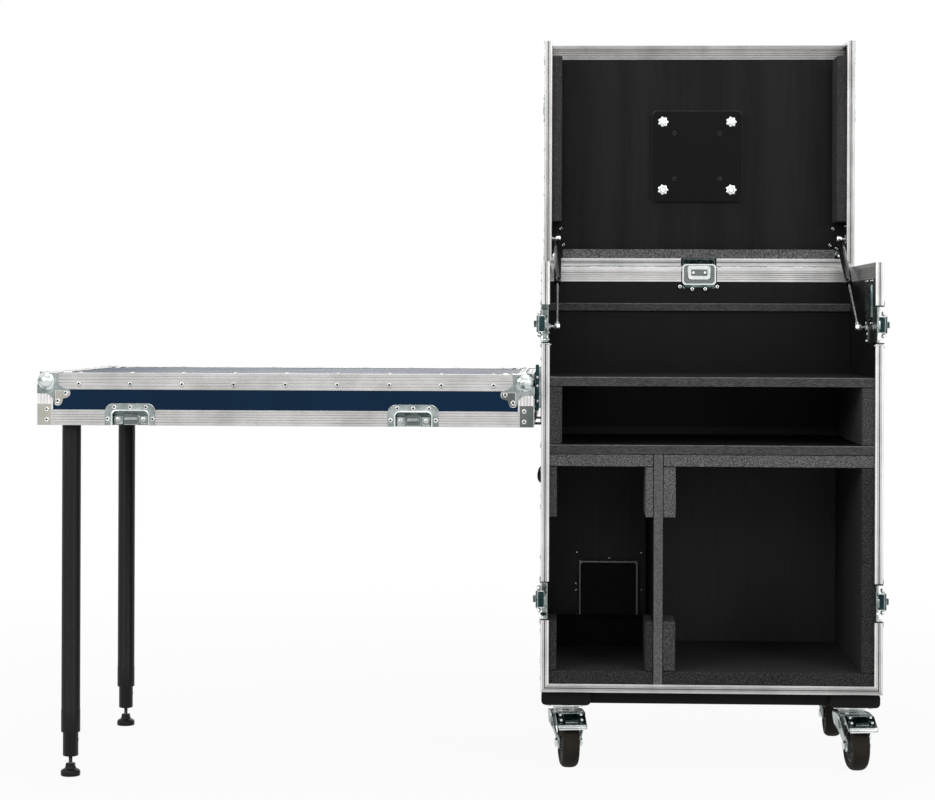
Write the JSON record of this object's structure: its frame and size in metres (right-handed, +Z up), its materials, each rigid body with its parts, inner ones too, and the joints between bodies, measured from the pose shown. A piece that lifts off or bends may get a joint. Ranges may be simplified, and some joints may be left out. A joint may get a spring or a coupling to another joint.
{
  "type": "flight case workstation",
  "caption": "Flight case on castors with an upright hinged lid holding a screen plate, shelves and foam-lined bays, and its front cover set up beside it as a table on telescopic legs.",
  "frame": {"origin": "on the floor, under the middle of the whole object's bounding box", "axes": "+X to the case's right seen from its open front, +Y to the case's rear, +Z up"},
  "size_m": [1.6604, 0.748, 1.499],
  "materials": {
    "laminate": "smooth navy laminate on plywood, black stained inside",
    "black_ply": "black stained plywood",
    "aluminium": "bright drawn extrusion",
    "zinc": "bright zinc-plated steel",
    "foam": "dark grey speckled foam",
    "rubber": "black rubber tyre",
    "black_steel": "satin black powder coat"
  },
  "bodies": {
    "case": {"base_panel": "black_ply", "left_wall": "laminate", "right_wall": "laminate", "rear_wall": "laminate", "front_rim": "aluminium", "top_rim": "aluminium", "edge_angles": "aluminium", "main_shelf": "black_ply", "lower_shelf": "black_ply", "rear_rail": "black_ply", "partition": "black_ply", "castor_base": "black_ply", "left_slot_foam": "foam", "right_slot_foam": "foam", "left_bay_floor_foam": "foam", "left_bay_top_foam": "foam", "right_bay_foam": "foam", "rear_cable_dish": "zinc", "left_handle_dish": "zinc", "right_handle_dish": "zinc", "table_hook_plate": "black_steel", "left_strut_bracket": "zinc", "right_strut_bracket": "zinc"},
    "lid": {"lid_shell": "laminate", "lid_rim": "aluminium", "lid_edges": "aluminium", "left_lid_foam": "foam", "right_lid_foam": "foam", "rear_lid_foam": "foam", "monitor_plate": "black_steel"},
    "table": {"table_shell": "laminate", "table_frame": "aluminium", "front_leg_tube": "black_steel", "rear_leg_tube": "black_steel"},
    "left_strut_rod": {"left_strut_rod": "zinc"},
    "left_strut_tube": {"left_strut_tube": "black_steel"},
    "right_strut_rod": {"right_strut_rod": "zinc"},
    "right_strut_tube": {"right_strut_tube": "black_steel"},
    "front_left_fork": {"front_left_fork": "zinc"},
    "front_left_wheel": {"front_left_wheel": "rubber"},
    "front_left_pedal": {"front_left_pedal": "zinc"},
    "front_right_fork": {"front_right_fork": "zinc"},
    "front_right_wheel": {"front_right_wheel": "rubber"},
    "front_right_pedal": {"front_right_pedal": "zinc"},
    "rear_left_fork": {"rear_left_fork": "zinc"},
    "rear_left_wheel": {"rear_left_wheel": "rubber"},
    "rear_right_fork": {"rear_right_fork": "zinc"},
    "rear_right_wheel": {"rear_right_wheel": "rubber"},
    "left_low_latch_wing": {"left_low_latch_wing": "zinc"},
    "left_high_latch_wing": {"left_high_latch_wing": "zinc"},
    "left_lid_latch_wing": {"left_lid_latch_wing": "zinc"},
    "left_handle": {"left_handle": "zinc"},
    "right_low_latch_wing": {"right_low_latch_wing": "zinc"},
    "right_high_latch_wing": {"right_high_latch_wing": "zinc"},
    "right_lid_latch_wing": {"right_lid_latch_wing": "zinc"},
    "right_handle": {"right_handle": "zinc"},
    "front_leg_inner": {"front_leg_inner": "black_steel"},
    "front_leg_foot": {"front_leg_foot": "black_steel"},
    "rear_leg_inner": {"rear_leg_inner": "black_steel"},
    "rear_leg_foot": {"rear_leg_foot": "black_steel"}
  },
  "joints": [
    {"name": "lid_hinge", "type": "hinge", "parent": "case", "child": "lid", "pos_m": [0.48035, 0.2625, 1.006], "axis": [1, 0, 0], "range_deg": [0, 90]},
    {"name": "left_rod_swing", "type": "hinge", "parent": "case", "child": "left_strut_rod", "pos_m": [0.17435, -0.0625, 0.877], "axis": [1, 0, 0], "range_deg": [0, 0.54]},
    {"name": "left_tube_slide", "type": "slide", "parent": "left_strut_rod", "child": "left_strut_tube", "axis": [0, 0.8738, 0.4863], "range_m": [-0.0935, 0]},
    {"name": "right_rod_swing", "type": "hinge", "parent": "case", "child": "right_strut_rod", "pos_m": [0.78635, -0.0625, 0.877], "axis": [1, 0, 0], "range_deg": [0, 0.54]},
    {"name": "right_tube_slide", "type": "slide", "parent": "right_strut_rod", "child": "right_strut_tube", "axis": [0, 0.8738, 0.4863], "range_m": [-0.0935, 0]},
    {"name": "front_left_swivel", "type": "hinge", "parent": "case", "child": "front_left_fork", "pos_m": [0.19535, -0.1455, 0.1], "axis": [0, 0, 1], "continuous": true},
    {"name": "front_left_roll", "type": "hinge", "parent": "front_left_fork", "child": "front_left_wheel", "pos_m": [0.20064, -0.18313, 0.05], "axis": [0.9903, 0.1392, 0], "continuous": true},
    {"name": "front_left_brake", "type": "hinge", "parent": "front_left_fork", "child": "front_left_pedal", "pos_m": [0.19966, -0.1762, 0.104], "axis": [0.9903, 0.1392, 0], "range_deg": [0, 12]},
    {"name": "front_right_swivel", "type": "hinge", "parent": "case", "child": "front_right_fork", "pos_m": [0.76535, -0.1455, 0.1], "axis": [0, 0, 1], "continuous": true},
    {"name": "front_right_roll", "type": "hinge", "parent": "front_right_fork", "child": "front_right_wheel", "pos_m": [0.77064, -0.18313, 0.05], "axis": [0.9903, 0.1392, 0], "continuous": true},
    {"name": "front_right_brake", "type": "hinge", "parent": "front_right_fork", "child": "front_right_pedal", "pos_m": [0.76966, -0.1762, 0.104], "axis": [0.9903, 0.1392, 0], "range_deg": [0, 12]},
    {"name": "rear_left_swivel", "type": "hinge", "parent": "case", "child": "rear_left_fork", "pos_m": [0.19535, 0.1745, 0.1], "axis": [0, 0, 1], "continuous": true},
    {"name": "rear_left_roll", "type": "hinge", "parent": "rear_left_fork", "child": "rear_left_wheel", "pos_m": [0.19535, 0.2125, 0.05], "axis": [-1, 0, 0], "continuous": true},
    {"name": "rear_right_swivel", "type": "hinge", "parent": "case", "child": "rear_right_fork", "pos_m": [0.76535, 0.1745, 0.1], "axis": [0, 0, 1], "continuous": true},
    {"name": "rear_right_roll", "type": "hinge", "parent": "rear_right_fork", "child": "rear_right_wheel", "pos_m": [0.76535, 0.2125, 0.05], "axis": [-1, 0, 0], "continuous": true},
    {"name": "left_low_latch_twist", "type": "hinge", "parent": "case", "child": "left_low_latch_wing", "pos_m": [0.14435, -0.1945, 0.336], "axis": [-1, 0, 0], "range_deg": [0, 180]},
    {"name": "left_high_latch_twist", "type": "hinge", "parent": "case", "child": "left_high_latch_wing", "pos_m": [0.14435, -0.1945, 0.883], "axis": [-1, 0, 0], "range_deg": [0, 180]},
    {"name": "left_lid_latch_twist", "type": "hinge", "parent": "case", "child": "left_lid_latch_wing", "pos_m": [0.14435, -0.0835, 0.929], "axis": [-1, 0, 0], "range_deg": [0, 180]},
    {"name": "left_handle_lift", "type": "hinge", "parent": "case", "child": "left_handle", "pos_m": [0.14835, 0.0145, 0.613], "axis": [0, 1, 0], "range_deg": [0, 90]},
    {"name": "right_low_latch_twist", "type": "hinge", "parent": "case", "child": "right_low_latch_wing", "pos_m": [0.81635, -0.1945, 0.336], "axis": [1, 0, 0], "range_deg": [0, 180]},
    {"name": "right_high_latch_twist", "type": "hinge", "parent": "case", "child": "right_high_latch_wing", "pos_m": [0.81635, -0.1945, 0.883], "axis": [1, 0, 0], "range_deg": [0, 180]},
    {"name": "right_lid_latch_twist", "type": "hinge", "parent": "case", "child": "right_lid_latch_wing", "pos_m": [0.81635, -0.0835, 0.929], "axis": [1, 0, 0], "range_deg": [0, 180]},
    {"name": "right_handle_lift", "type": "hinge", "parent": "case", "child": "right_handle", "pos_m": [0.81235, 0.0145, 0.613], "axis": [0, -1, 0], "range_deg": [0, 90]},
    {"name": "table_lift", "type": "slide", "parent": "case", "child": "table", "axis": [0, 0, 1], "range_m": [0, 0.03]},
    {"name": "front_leg_telescope", "type": "slide", "parent": "table", "child": "front_leg_inner", "axis": [0, 0, 1], "range_m": [0, 0.06]},
    {"name": "front_foot_screw", "type": "slide", "parent": "front_leg_inner", "child": "front_leg_foot", "axis": [0, 0, 1], "range_m": [0, 0.01]},
    {"name": "rear_leg_telescope", "type": "slide", "parent": "table", "child": "rear_leg_inner", "axis": [0, 0, 1], "range_m": [0, 0.06]},
    {"name": "rear_foot_screw", "type": "slide", "parent": "rear_leg_inner", "child": "rear_leg_foot", "axis": [0, 0, 1], "range_m": [0, 0.01]}
  ],
  "couplings": [
    {"joint": "left_rod_swing", "follows": "lid_hinge", "ratio": 0.00589},
    {"joint": "left_tube_slide", "follows": "lid_hinge", "m_per_rad": -0.059475},
    {"joint": "right_rod_swing", "follows": "lid_hinge", "ratio": 0.00589},
    {"joint": "right_tube_slide", "follows": "lid_hinge", "m_per_rad": -0.059475}
  ]
}
